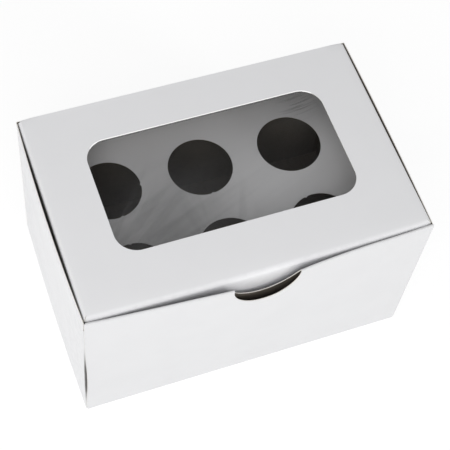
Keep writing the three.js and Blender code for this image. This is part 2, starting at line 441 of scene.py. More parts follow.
@dataclass(frozen=True)
class CutEdge:
    """The board's section where a die cut it: beige plies and loose fibre."""

    name: str
    base: Triple = (0.82, 0.80, 0.76)
    shade: Triple = (0.69, 0.66, 0.61)
    # Emission; set above zero it makes a painted highlight.
    glow: float = 0.0
    roughness: float = 0.85
    fibre_roughness: float = 0.1
    specular: float = 0.2
    fibre_scale: float = 1600.0
    fibre_range: Pair = (0.35, 0.7)
    fibre_height: float = 0.05 * MM

    def material(self) -> bpy.types.Material:
        """Builds the finish.

        Returns:
            The material.
        """
        recipe = Recipe(self.name)
        fibre = recipe.noise(self.fibre_scale, 4.0)
        tint = recipe.blend(fibre.ramp(*self.fibre_range), colour(*self.base), colour(*self.shade))
        return recipe.finish(
            {
                "Base Color": tint,
                "Roughness": self.roughness + fibre * self.fibre_roughness,
                "Normal": recipe.bump(fibre, self.fibre_height),
                "Specular IOR Level": self.specular,
                "Emission Color": colour(1, 1, 1),
                "Emission Strength": self.glow,
            }
        )


@dataclass(frozen=True)
class Pool:
    """A soft round patch of the film, in millimetres. The film's pools darken it as painted shade over the
    insert below; a fan's patch only bounds its lines.
    """

    x: float
    y: float
    radius: float
    amount: float

    def mask(self, recipe: Recipe) -> Reading:
        """Its strength over the film, greatest at its middle."""
        _, _, distance = recipe.away(self.x * MM, self.y * MM)
        return (1 - distance.ramp(0.0, self.radius * MM)) * self.amount


@dataclass(frozen=True)
class Fan:
    """Stretch lines of the film, running out from a point in millimetres or ringed round it."""

    x: float
    y: float
    rays: float
    rings: float
    shown: Pool
    visible: Pair = (0.46, 0.62)

    def lines(self, recipe: Recipe) -> Reading:
        """How strong the lines are over the film.

        Args:
            recipe: The recipe that the mask is for.

        Returns:
            A mask from 0 to the shown patch's amount.
        """
        across, along, distance = recipe.away(self.x * MM, self.y * MM)
        polar = {0: along.turn(across) * self.rays, 1: distance * self.rings}
        at = recipe.node("ShaderNodeCombineXYZ", {}, polar)
        return recipe.noise(1.0, 1.5, at).ramp(*self.visible) * self.shown.mask(recipe)


@dataclass(frozen=True)
class Streak:
    """One run of fine parallel stretch lines, turned by an angle in degrees."""

    degrees: float
    visible: Pair
    share: float
    scale: float = 150.0
    stretch: Triple = (0.05, 1, 1)

    def lines(self, recipe: Recipe) -> Reading:
        """How strong the lines are over the film."""
        at = recipe.stretched(self.stretch, (0, 0, math.radians(self.degrees)))
        return recipe.noise(self.scale, 1.5, at).ramp(*self.visible) * self.share


@dataclass(frozen=True)
class ClearFilm:
    """The window's film: clear, glossy, with fine stretch lines; darkened in soft patches as painted shade
    over the insert, and along the window's back edge as a painted shadow.
    """

    name: str
    tint: Triple = (0.985, 0.987, 0.99)
    # Dark glossy tone that the cover mixes towards: the film's reflection, and the painted shade of the
    # pools and the shadow line.
    gloss: Triple = (0.09, 0.09, 0.092)
    roughness: float = 0.10
    smear_roughness: float = 0.08
    specular: float = 0.5
    index: float = 1.45
    haze: float = 0.004
    smear_haze: float = 0.01
    facing_haze: float = 0.16
    smear_scale: float = 24.0
    smear_range: Pair = (0.35, 0.75)
    # Painted shade: soft dark patches standing in for the shade that falls on the insert below.
    painted_shade_pools: tuple[Pool, ...] = (
        Pool(-44, -26, 66, 0.26),
        Pool(-4, -8, 70, 0.05),
        Pool(72, 46, 36, 0.12),
        Pool(30, -20, 60, 0.05),
    )
    fans: tuple[Fan, ...] = (
        Fan(-105, -55, 9.0, 12.0, Pool(-52, -12, 52, 0.07)),
        Fan(58, 105, 2.2, 620.0, Pool(64, 39, 16, 0.22)),
        Fan(-20, -80, 7.0, 9.0, Pool(-12, -22, 34, 0.05)),
    )
    drawn: Streak = Streak(-21, (0.42, 0.66), 0.7)
    crossing: Streak = Streak(-98, (0.50, 0.72), 0.3)
    streak_strength: float = 0.16
    streak_height: float = 0.10 * MM
    # Painted shadow: a dark line in the film along the window's back edge, where the board shades it.
    shadow_line: float = 48.3 * MM
    shadow_line_width: float = 1.0 * MM
    shadow_line_amount: float = 0.3

    def material(self) -> bpy.types.Material:
        """Builds the finish.

        Returns:
            The material.
        """
        recipe = Recipe(self.name)
        lines = self.drawn.lines(recipe) + self.crossing.lines(recipe)
        smear = recipe.noise(self.smear_scale, 4.0).ramp(*self.smear_range)
        inputs = {
            "Base Color": colour(*self.gloss),
            "Roughness": self.roughness + smear * self.smear_roughness,
            "Normal": recipe.bump(lines, self.streak_height),
            "Specular IOR Level": self.specular,
        }
        gloss = recipe.node("ShaderNodeBsdfPrincipled", {}, inputs)
        clear = recipe.node("ShaderNodeBsdfTransparent", {}, {"Color": colour(*self.tint)})
        facing = recipe.node("ShaderNodeFresnel", {}, {"IOR": self.index})
        # Painted shade: the pools darken the film where the insert below lies in shade, broken up by the
        # stretch lines.
        painted_shade = sum((pool.mask(recipe) for pool in self.painted_shade_pools), 0.0)
        streaked = painted_shade * (1 - self.streak_strength + lines * 2 * self.streak_strength)
        drawn_out = sum((fan.lines(recipe) for fan in self.fans), 0.0)
        # Painted shadow line along the window's back edge.
        off_shadow_line = abs(recipe.axis(Axis.Y) - self.shadow_line)
        rim = (1 - off_shadow_line.ramp(0.0, self.shadow_line_width)) * self.shadow_line_amount
        hazy = self.haze + smear * self.smear_haze + facing * self.facing_haze
        cover = (streaked + drawn_out + rim + hazy).least(1.0)
        return recipe.surface(recipe.node("ShaderNodeMixShader", {}, {0: cover, 1: clear, 2: gloss}))


@dataclass(frozen=True)
class PaleFloor:
    """A plain white sweep, lit until the carton's shadow nearly goes."""

    name: str
    base: Triple = (0.30, 0.30, 0.30)
    roughness: float = 0.9
    mottle_roughness: float = 0.05
    mottle_scale: float = 3.0
    glow: float = 0.765

    def material(self) -> bpy.types.Material:
        """Builds the finish.

        Returns:
            The material.
        """
        recipe = Recipe(self.name)
        mottle = recipe.noise(self.mottle_scale, 2.0)
        return recipe.finish(
            {
                "Base Color": colour(*self.base),
                "Roughness": self.roughness + mottle * self.mottle_roughness,
                "Emission Color": colour(1, 1, 1),
                "Emission Strength": self.glow,
            }
        )


# Modelling helpers


def object_mode() -> None:
    """Leaves edit mode, if a mesh is in it."""
    if bpy.context.object and bpy.context.object.mode != "OBJECT":
        bpy.ops.object.mode_set(mode="OBJECT")


def deselect_all() -> None:
    """Deselects every object."""
    object_mode()
    for thing in bpy.context.view_layer.objects:
        thing.select_set(False)


def only(piece: bpy.types.Object) -> None:
    """Makes a piece the only selected and the active one.

    Args:
        piece: The piece.
    """
    deselect_all()
    piece.select_set(True)
    bpy.context.view_layer.objects.active = piece


def edit_all(piece: bpy.types.Object) -> None:
    """Enters edit mode on a piece with all of it selected.

    Args:
        piece: The piece.
    """
    only(piece)
    bpy.ops.object.mode_set(mode="EDIT")
    bpy.ops.mesh.select_all(action="SELECT")


def edit_edges(piece: bpy.types.Object, test: EdgeTest) -> None:
    """Enters edit mode on a piece with only some of its edges selected.

    Args:
        piece: The piece.
        test: What a selected edge has to pass.
    """
    only(piece)
    mesh = piece.data
    for part in (mesh.polygons, mesh.edges, mesh.vertices):
        for item in part:
            item.select = False
    for edge in mesh.edges:
        if test(edge):
            edge.select = True
            for index in edge.vertices:
                mesh.vertices[index].select = True
    bpy.ops.object.mode_set(mode="EDIT")
    bpy.ops.mesh.select_mode(type="EDGE")


def apply_place(piece: bpy.types.Object) -> None:
    """Puts a piece's place, turn and scale into its mesh."""
    only(piece)
    bpy.ops.object.transform_apply(location=True, rotation=True, scale=True)


def apply_modifier(piece: bpy.types.Object, kind: str, **settings: object) -> None:
    """Adds a modifier to a piece and applies it.

    Args:
        piece: The piece.
        kind: The modifier's type.
        **settings: Its settings by name.
    """
    only(piece)
    modifier = piece.modifiers.new(kind.lower(), kind)
    for key, value in settings.items():
        setattr(modifier, key, value)
    bpy.ops.object.modifier_apply(modifier=modifier.name)


@dataclass
class FoldedSheet:
    """A sheet of board, made as its middle surface and folded up edge by edge."""

    name: str
    fold_steps: int = 6
    crisp_angle: float = 32.0
    piece: bpy.types.Object = field(init=False)

    def panel(self, low: Sequence[float], high: Sequence[float], level: float) -> None:
        """Starts the sheet with one flat panel.

        Args:
            low: The panel's lowest x and y.
            high: Its highest x and y.
            level: Its height.
        """
        deselect_all()
        centre = ((low[0] + high[0]) / 2, (low[1] + high[1]) / 2, level)
        bpy.ops.mesh.primitive_plane_add(size=1.0, location=centre)
        self.piece = bpy.context.object
        self.piece.name = self.name
        self.piece.data.name = self.name
        self.piece.scale = (high[0] - low[0], high[1] - low[1], 1.0)
        apply_place(self.piece)

    def pick(self, test: Test) -> None:
        """Selects the edges whose two ends pass a test, and enters edit mode.

        Args:
            test: What a point has to pass.
        """
        object_mode()
        passing = [test(vertex.co) for vertex in self.piece.data.vertices]
        edit_edges(self.piece, lambda edge: all(passing[index] for index in edge.vertices))

    def pull(self, by: Sequence[float]) -> None:
        """Draws the selected edges out into a new panel."""
        bpy.ops.mesh.extrude_region_move(TRANSFORM_OT_translate={"value": tuple(by)})

    def fold(self, centre: Sequence[float], axis: Sequence[float], degrees: float) -> None:
        """Bends the sheet on from the selected edges, right-handed round an axis."""
        angle = -math.radians(degrees)
        bpy.ops.mesh.spin(steps=self.fold_steps, angle=angle, center=tuple(centre), axis=tuple(axis))

    def cut(self, axis: Axis, places: Iterable[float]) -> None:
        """Cuts the whole sheet across.

        Args:
            axis: The axis that the cuts are square to.
            places: Where they lie along it.
        """
        normal = Vector(axis.value)
        for place in places:
            edit_all(self.piece)
            bpy.ops.mesh.bisect(plane_co=normal * place, plane_no=normal)
        object_mode()

    def refine(self, lows: Sequence[float], highs: Sequence[float], counts: Sequence[int]) -> None:
        """Cuts the whole sheet into equal strips along X, Y and, where a third count is given, Z.

        Args:
            lows: Where the strips start along each axis.
            highs: Where they end.
            counts: How many there are.
        """
        for axis, low, high, count in zip(Axis, lows, highs, counts):
            self.cut(axis, [low + (high - low) * step / count for step in range(1, count)])

    def shape(self, move: Move) -> None:
        """Moves each point of the sheet.

        Args:
            move: Where a point goes.
        """
        object_mode()
        for vertex in self.piece.data.vertices:
            vertex.co = move(vertex.co.copy())

    def face_out(self, at: Sequence[float], outward: Sequence[float]) -> None:
        """Turns the whole sheet so that its white side faces outward at a known point.

        Args:
            at: The point.
            outward: The way that the white side faces there.
        """
        edit_all(self.piece)
        bpy.ops.mesh.remove_doubles(threshold=TOUCH)
        bpy.ops.mesh.normals_make_consistent(inside=False)
        object_mode()
        point = Vector(at)
        nearest = min(self.piece.data.polygons, key=lambda face: (face.center - point).length)
        if nearest.normal.dot(Vector(outward)) < 0:
            edit_all(self.piece)
            bpy.ops.mesh.flip_normals()
            object_mode()

    def thicken(self, board: float, finishes: Sequence[bpy.types.Material]) -> None:
        """Gives the sheet its thickness and its finishes.

        Args:
            board: The thickness.
            finishes: White side, back and cut edge, or one finish for all three.
        """
        for finish in finishes:
            self.piece.data.materials.append(finish)
        apply_modifier(
            self.piece,
            "SOLIDIFY",
            thickness=board,
            offset=0.0,
            use_even_offset=True,
            material_offset=BoardSlot.BACK.value,
            material_offset_rim=BoardSlot.EDGE.value,
        )

    def die_cut(self, cutter: bpy.types.Object) -> None:
        """Cuts a closed form out of the sheet and removes the cutter.

        Args:
            cutter: The form, whose finish the cut takes on.
        """
        settings = {"operation": "DIFFERENCE", "solver": "EXACT", "material_mode": "TRANSFER"}
        apply_modifier(self.piece, "BOOLEAN", object=cutter, **settings)
        bpy.data.objects.remove(cutter)

    def crush_rim(self, low: Pair, high: Pair, width: float, finish: bpy.types.Material) -> None:
        """Slopes the white side's edge of the cut that lies within a rectangle of x and y.

        Args:
            low: The rectangle's lowest x and y.
            high: Its highest x and y.
            width: How wide the slope is.
            finish: The slope's finish.
        """
        object_mode()
        mesh = self.piece.data
        sides: dict[tuple[int, int], set[int]] = {}
        for face in mesh.polygons:
            for key in face.edge_keys:
                sides.setdefault(key, set()).add(face.material_index)
        mesh.materials.append(finish)

        def on_rim(edge: bpy.types.MeshEdge) -> bool:
            """Whether an edge lies in the rectangle, between the white side and the cut."""
            ends = [mesh.vertices[index].co for index in edge.vertices]
            inside = all(low[0] < end.x < high[0] and low[1] < end.y < high[1] for end in ends)
            return inside and sides.get(tuple(sorted(edge.vertices))) == {BoardSlot.WHITE, BoardSlot.EDGE}

        edit_edges(self.piece, on_rim)
        bpy.ops.mesh.bevel(offset=width, segments=1, affect="EDGES", material=BoardSlot.RIM.value)
        object_mode()

    def smooth(self) -> bpy.types.Object:
        """Shades the folds smooth and leaves the edges crisp.

        Returns:
            The finished piece.
        """
        only(self.piece)
        bpy.ops.object.shade_smooth_by_angle(angle=math.radians(self.crisp_angle))
        return self.piece


def round_cutter(
    centre: Sequence[float], radius: float, length: float, along: Axis, edge: bpy.types.Material
) -> bpy.types.Object:
    """A round die, longer than the sheet that it cuts is thick.

    Args:
        centre: The die's middle.
        radius: Its radius.
        length: Its length.
        along: The direction that it cuts in.
        edge: The finish that it leaves.

    Returns:
        The die.
    """
    deselect_all()
    turn = {Axis.Z: (0, 0, 0), Axis.Y: (math.pi / 2, 0, 0)}[along]
    bpy.ops.mesh.primitive_cylinder_add(
        vertices=ROUND_FACETS, radius=radius, depth=length, location=tuple(centre), rotation=turn
    )
    cutter = bpy.context.object
    cutter.data.materials.append(edge)
    apply_place(cutter)
    return cutter


def window_cutter(
    centre: Sequence[float], size: Sequence[float], radius: float, edge: bpy.types.Material
) -> bpy.types.Object:
    """A rectangular die with rounded corners, cutting downwards.

    Args:
        centre: The die's middle.
        size: Its size along X, Y and Z.
        radius: Its corners' radius.
        edge: The finish that it leaves.

    Returns:
        The die.
    """
    deselect_all()
    bpy.ops.mesh.primitive_cube_add(size=1.0, location=tuple(centre))
    cutter = bpy.context.object
    cutter.scale = tuple(size)
    apply_place(cutter)
    cutter.data.materials.append(edge)

    def is_upright(line: bpy.types.MeshEdge) -> bool:
        """Whether an edge of the block runs up."""
        first, second = (cutter.data.vertices[index].co for index in line.vertices)
        return abs(first.z - second.z) > size[2] / 2

    edit_edges(cutter, is_upright)
    bpy.ops.mesh.bevel(offset=radius, segments=CORNER_FACETS, profile=0.5, affect="EDGES")
    object_mode()
    return cutter


def join(pieces: Sequence[bpy.types.Object]) -> bpy.types.Object:
    """Joins pieces into one.

    Args:
        pieces: The pieces.

    Returns:
        The first of them, with the others in it.
    """
    deselect_all()
    for piece in pieces:
        piece.select_set(True)
    bpy.context.view_layer.objects.active = pieces[0]
    bpy.ops.object.join()
    return pieces[0]


def share(value: float) -> float:
    """A number kept between 0 and 1."""
    return min(1.0, max(0.0, value))


def seat(piece: bpy.types.Object, body: Body, node: str) -> None:
    """Rides a piece on its body in place of a node, and reports it.

    Args:
        piece: The piece.
        body: The body that it moves with.
        node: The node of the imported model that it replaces.
    """
    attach(piece, body.value)
    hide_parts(node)
    log.info("%s: %d faces on %s for %s", piece.name, len(piece.data.polygons), body.value, node)


# The carton


@dataclass(frozen=True)
class CartonSizes:
    """Sizes that the pieces share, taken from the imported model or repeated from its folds."""

    board: float = 0.5 * MM
    depth: float = 150 * MM
    crease_radius: float = 0.8 * MM
    roll_radius: float = 0.5 * MM
    clearance: float = 0.3 * MM

    @cached_property
    def half_width(self) -> float:
        """Half of the body's width."""
        low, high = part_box("box_body")
        return (high.x - low.x) / 2

    @cached_property
    def back(self) -> float:
        """The back wall's outer face."""
        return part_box("box_body")[1].y

    @cached_property
    def front(self) -> float:
        """The front wall's outer face at its foot."""
        return self.back - self.depth

    @cached_property
    def wall_top(self) -> float:
        """The top edge of the walls."""
        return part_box("box_body")[1].z

    @cached_property
    def top(self) -> float:
        """The lid panel's upper face."""
        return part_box("lid")[1].z

    @cached_property
    def tuck_tip(self) -> float:
        """The lowest edge of the lid's tuck flap."""
        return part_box("lid")[0].z


@dataclass(frozen=True)
class BoardFinishes:
    """The three finishes that a sheet of board shows."""

    white: bpy.types.Material
    back: bpy.types.Material
    edge: bpy.types.Material

    def stack(self) -> list[bpy.types.Material]:
        """White side, back and cut edge, in the order that a thickened sheet needs."""
        return [self.white, self.back, self.edge]


@dataclass
class BoxBody:
    """Base, walls, rolled front and corner flaps, folded from one sheet.

    The bow line gives places along the front wall and how far its top edge stands out, in
    millimetres. The wall leans above the bow foot, in crease radii. The tongue is the middle of
    the inner panel, which hangs lower. The two set-backs are the corner flaps' depths behind the
    walls, in boards. The slit is where the front wall's left end has come away from its fold.
    """

    sizes: CartonSizes
    bow_line: tuple[Pair, ...] = (
        (-115, 0), (-105, 1.0), (-86, 2.3), (-66, 3.6), (-46, 4.8), (-27, 6.1), (-9, 6.9), (8, 6.7),
        (22, 5.3), (33, 4.0), (50, 2.7), (66, 1.8), (88, 1.15), (100, 0.75), (115, 0),
    )
    bow_foot: float = 0.4
    panel_depth: float = 38 * MM
    panel_spring: float = 3.5 * MM
    panel_end_gap: float = 2 * MM
    tongue_half: float = 50 * MM
    tongue_depth: float = 9 * MM
    tongue_spring: float = 4.7 * MM
    tongue_fade: float = 6 * MM
    tongue_ease: float = 2.5
    flap_set_backs: Pair = (1.5, 1.6)
    flap_length: float = 55 * MM
    flap_drop: float = 11 * MM
    flap_slope: float = math.radians(16)
    flap_foot: float = 1.1 * MM
    flap_low: float = 0.2 * MM
    flap_clear: float = 0.5 * MM
    notch_radius: float = 22 * MM
    notch_drop: float = 1 * MM
    notch_length: float = 26 * MM
    top_reach: float = 1.3 * MM
    top_back_reach: float = 0.9 * MM
    top_fall: float = 1.4 * MM
    side_bulge: float = 1.8 * MM
    foot_bulge: float = 1.1 * MM
    right_share: float = 0.4
    back_sway: float = 0.5 * MM
    end_overlap: float = 0.1 * MM
    end_rise: float = 3 * MM
    slit: float = 0.9 * MM
    slit_curl: float = 1.7 * MM
    slit_height: float = 52 * MM
    slit_length: float = 30 * MM
    slit_sharpness: int = 20
    # Place, half length and radius of the painted shade along the front left fold.
    slit_shadow_place: Pair = (0.2 * MM, 1.1 * MM)
    slit_shadow_half: float = 50 * MM
    slit_shadow_radius: float = 1.25 * MM
    cuts: tuple[int, int, int] = (46, 20, 26)

    def bow(self, x: float) -> float:
        """How far the front wall's top edge stands out at a place along X.

        Args:
            x: The place, in metres.

        Returns:
            The distance, in metres.
        """
        for (x0, out0), (x1, out1) in zip(self.bow_line, self.bow_line[1:]):
            if x / MM <= x1:
                return (out0 + (out1 - out0) * max(0.0, x / MM - x0) / (x1 - x0)) * MM
        return 0.0

    def build(self, finishes: BoardFinishes) -> bpy.types.Object:
        """Folds the sheet up and dresses it.

        Args:
            finishes: The finishes of its sides and cut edges.

        Returns:
            The finished piece.
        """
        sheet = FoldedSheet("carton_body")
        self.base(sheet)
        self.back_wall(sheet)
        self.front_wall(sheet)
        for side in Side:
            self.side_wall(sheet, side)
        reach, front, back = self.reach
        sheet.refine((-reach, front, 0), (reach, back, self.roll_level), self.cuts)
        sheet.shape(self.sway)
        sheet.face_out((0, (self.sizes.front + self.sizes.back) / 2, 0), (0, 0, -1))
        sheet.thicken(self.sizes.board, finishes.stack())
        sheet.die_cut(self.notch(finishes.edge))
        return sheet.smooth()

    @cached_property
    def creases(self) -> tuple[tuple[Axis, float], ...]:
        """Where the coating is rubbed: the walls' top edge, the foot and the two sides."""
        half_width = self.sizes.half_width
        return (Axis.Z, self.sizes.wall_top), (Axis.Z, 0.0), (Axis.X, -half_width), (Axis.X, half_width)

    @cached_property
    def corner_slit_shadow(self) -> SlitShadow:
        """The dark line painted along the front left fold, where the front wall's end curls away: painted
        shade for the slit there.
        """
        x, y = -self.sizes.half_width + self.slit_shadow_place[0], self.sizes.front + self.slit_shadow_place[1]
        return SlitShadow(x, y, self.slit_height, self.slit_shadow_half, self.slit_shadow_radius)

    @cached_property
    def reach(self) -> Triple:
        """Middle of the board at the side, front and back walls.

        Returns:
            The side walls' distance from the middle, and the places of the front and back walls.
        """
        half_board = self.sizes.board / 2
        side = self.sizes.half_width - half_board
        return side, self.sizes.front + half_board, self.sizes.back - half_board

    @cached_property
    def flap_lines(self) -> Pair:
        """Middle of the board at the front and back corner flaps."""
        front, back = (boards * self.sizes.board for boards in self.flap_set_backs)
        return self.sizes.front + front + self.sizes.clearance, self.sizes.back - back

    @cached_property
    def roll_level(self) -> float:
        """Height at which the front wall starts to roll over."""
        return self.sizes.wall_top - self.sizes.board / 2 - self.sizes.roll_radius

    @cached_property
    def end_cover(self) -> float:
        """Share by which the end walls widen, to cover the side walls' folds."""
        side = self.reach[0]
        return (side + self.end_overlap) / (side - self.sizes.crease_radius) - 1

    def base(self, sheet: FoldedSheet) -> None:
        """Lays the base and marks where the side walls start and end.

        Args:
            sheet: The sheet to build on.
        """
        side, front, back = self.reach
        radius = self.sizes.crease_radius
        low, high = (-side + radius, front + radius), (side - radius, back - radius)
        sheet.panel(low, high, self.sizes.board / 2)
        flap_front, flap_back = self.flap_lines
        sheet.cut(Axis.Y, (flap_front + radius, flap_back - radius))

    def back_wall(self, sheet: FoldedSheet) -> None:
        """Folds the back wall up from the base.

        Args:
            sheet: The sheet to build on.
        """
        _, _, back = self.reach
        radius = self.sizes.crease_radius
        level = self.sizes.board / 2
        sheet.pick(lambda at: at.y > back - radius - TOUCH)
        sheet.fold((0, back - radius, level + radius), Axis.X.value, 90)
        sheet.pull((0, 0, self.sizes.wall_top - level - radius))

    def front_wall(self, sheet: FoldedSheet) -> None:
        """Folds the front wall up, rolls its top edge over and draws the inner panel down.

        Args:
            sheet: The sheet to build on.
        """
        _, front, _ = self.reach
        radius, roll = self.sizes.crease_radius, self.sizes.roll_radius
        level = self.sizes.board / 2
        sheet.pick(lambda at: at.y < front + radius + TOUCH)
        sheet.fold((0, front + radius, level + radius), (-1, 0, 0), 90)
        sheet.pull((0, 0, self.roll_level - level - radius))
        sheet.fold((0, front + roll, self.roll_level), (-1, 0, 0), 180)
        sheet.pull((0, 0, -self.panel_depth))

    def side_wall(self, sheet: FoldedSheet, side: Side) -> None:
        """Folds one side wall up from the base and its two corner flaps inwards.

        Args:
            sheet: The sheet to build on.
            side: Which side wall.
        """
        reach, _, _ = self.reach
        radius = self.sizes.crease_radius
        level = self.sizes.board / 2
        sign = side.value
        flap_front, flap_back = self.flap_lines
        front_end, back_end = flap_front + radius - TOUCH, flap_back - radius + TOUCH
        foot = sign * (reach - radius)
        sheet.pick(
            lambda at: abs(at.x - foot) < TOUCH and front_end < at.y < back_end and at.z < level + TOUCH
        )
        sheet.fold((foot, 0, level + radius), (0, -sign, 0), 90)
        flap_height = self.sizes.wall_top - self.flap_drop - self.flap_foot
        for height in (self.flap_foot - level - radius, flap_height, self.flap_drop):
            sheet.pull((0, 0, height))
        top = self.flap_foot + flap_height
        for line, inward in ((front_end, -1.0), (back_end, 1.0)):
            sheet.pick(
                lambda at: abs(at.x - sign * reach) < TOUCH
                and abs(at.y - line) < NEAR
                and self.flap_foot - TOUCH < at.z < top + TOUCH
            )
            sheet.fold((foot, line, 0), (0, 0, sign * inward), 90)
            sheet.pull((-sign * (self.flap_length - radius), 0, 0))

    def sway(self, at: Vector) -> Vector:
        """Where a point of the sheet goes as the board bows, slopes and bulges.

        Args:
            at: The point on the flat-walled carton.

        Returns:
            The point on the real one.
        """
        side, front, back = self.reach
        flap_front, flap_back = self.flap_lines
        crease, wall_top = self.sizes.crease_radius, self.sizes.wall_top
        across = at.x / side
        along = (2 * at.y - front - back) / (back - front)
        roll_middle = front + self.sizes.roll_radius
        inner_line = front + 2 * self.sizes.roll_radius
        lowest = self.roll_level - self.panel_depth - TOUCH
        back_shift = self.back_sway * (1 - across * across) * min(1.0, at.z / wall_top)
        in_back_fold = at.y > back - crease - TOUCH and at.z < self.flap_foot - TOUCH
        moved = at.copy()
        moved.z = self.flap_level(at)
        if at.y < roll_middle and at.z > self.bow_foot * crease:
            moved.y -= self.bow(at.x) * min(1.0, at.z / self.roll_level)
            moved.x = at.x * self.end_spread(at.z)
            if at.x < 0:
                opening = self.slit_share(at.z) * across**self.slit_sharpness
                moved.x += self.slit * opening
                moved.y -= self.slit_curl * opening
        elif abs(at.y - inner_line) < NEAR and self.roll_level >= at.z > lowest:
            below = min(1.0, (self.roll_level - at.z) / self.panel_depth)
            leaning = self.panel_spring * below - self.bow(at.x) * (1 - below)
            hanging = self.tongue_spring * below * (1 - below) ** 2
            hanging -= self.bow(at.x) * (1 - below) ** self.tongue_ease
            tongue = share((self.tongue_half - abs(at.x)) / self.tongue_fade)
            moved.y += leaning + (hanging - leaning) * tongue
            moved.z -= self.tongue_depth * below * tongue
            moved.x = at.x * (side - self.panel_end_gap) / side
        elif at.z > self.roll_level and at.y < inner_line + TOUCH:
            moved.y -= self.bow(at.x)
        elif at.y > flap_back + NEAR or in_back_fold:
            moved.x = at.x * (1 + self.end_cover)
            moved.y -= back_shift
        elif abs(at.x) > side - crease:
            rise = at.z / wall_top
            bulge = self.foot_bulge * (1 - rise) + self.side_bulge * rise
            belly = max(0.0, 1 - along * along)
            moved.x += bulge * belly * self.right_share if at.x > 0 else -bulge * belly
            flapless = wall_top - self.flap_drop + self.flap_clear
            if at.y < flap_front + crease + NEAR and at.z > flapless:
                moved.y -= self.top_reach
            if at.y > flap_back - crease - NEAR and at.z > flapless:
                moved.y += self.top_back_reach
            if at.x > 0 and at.z > wall_top - NEAR:
                moved.z -= self.top_fall * (1 - along) / 2
        elif abs(at.y - back) < crease:
            moved.y -= back_shift
        return moved

    def flap_level(self, at: Vector) -> float:
        """The height of a point after the corner flaps' tops slope and their feet drop.

        Args:
            at: The point on the flat-walled carton.

        Returns:
            Its new height, or its own where it is on no corner flap.
        """
        side, crease = self.reach[0], self.sizes.crease_radius
        flap_front, flap_back = self.flap_lines
        level = at.z
        if abs(at.x) < side - crease / 2 and at.z > self.flap_foot - TOUCH:
            if min(abs(at.y - flap_front), abs(at.y - flap_back)) < NEAR:
                drop = (side - abs(at.x)) * math.tan(self.flap_slope)
                full = self.sizes.wall_top - self.flap_drop - self.flap_foot
                level = (at.z - self.flap_foot) / full
                level = self.flap_low + level * (full - drop + self.flap_foot - self.flap_low)
        turning = flap_front + NEAR < at.y < flap_front + crease - NEAR
        turning = turning or flap_back - crease + NEAR < at.y < flap_back - NEAR
        return self.flap_low if turning and abs(at.z - self.flap_foot) < NEAR else level

    def end_spread(self, z: float) -> float:
        """How much the front wall widens above its foot."""
        return 1 + self.end_cover * share(z / self.end_rise)

    def slit_share(self, z: float) -> float:
        """How far the front wall's left end is drawn back at a height, from 0 to 1."""
        return math.exp(-(((z - self.slit_height) / self.slit_length) ** 2))

    def notch(self, edge: bpy.types.Material) -> bpy.types.Object:
        """The round die that cuts the finger notch across the rolled edge."""
        centre = (0, self.sizes.front, self.sizes.wall_top - self.notch_drop)
        return round_cutter(centre, self.notch_radius, self.notch_length, Axis.Y, edge)


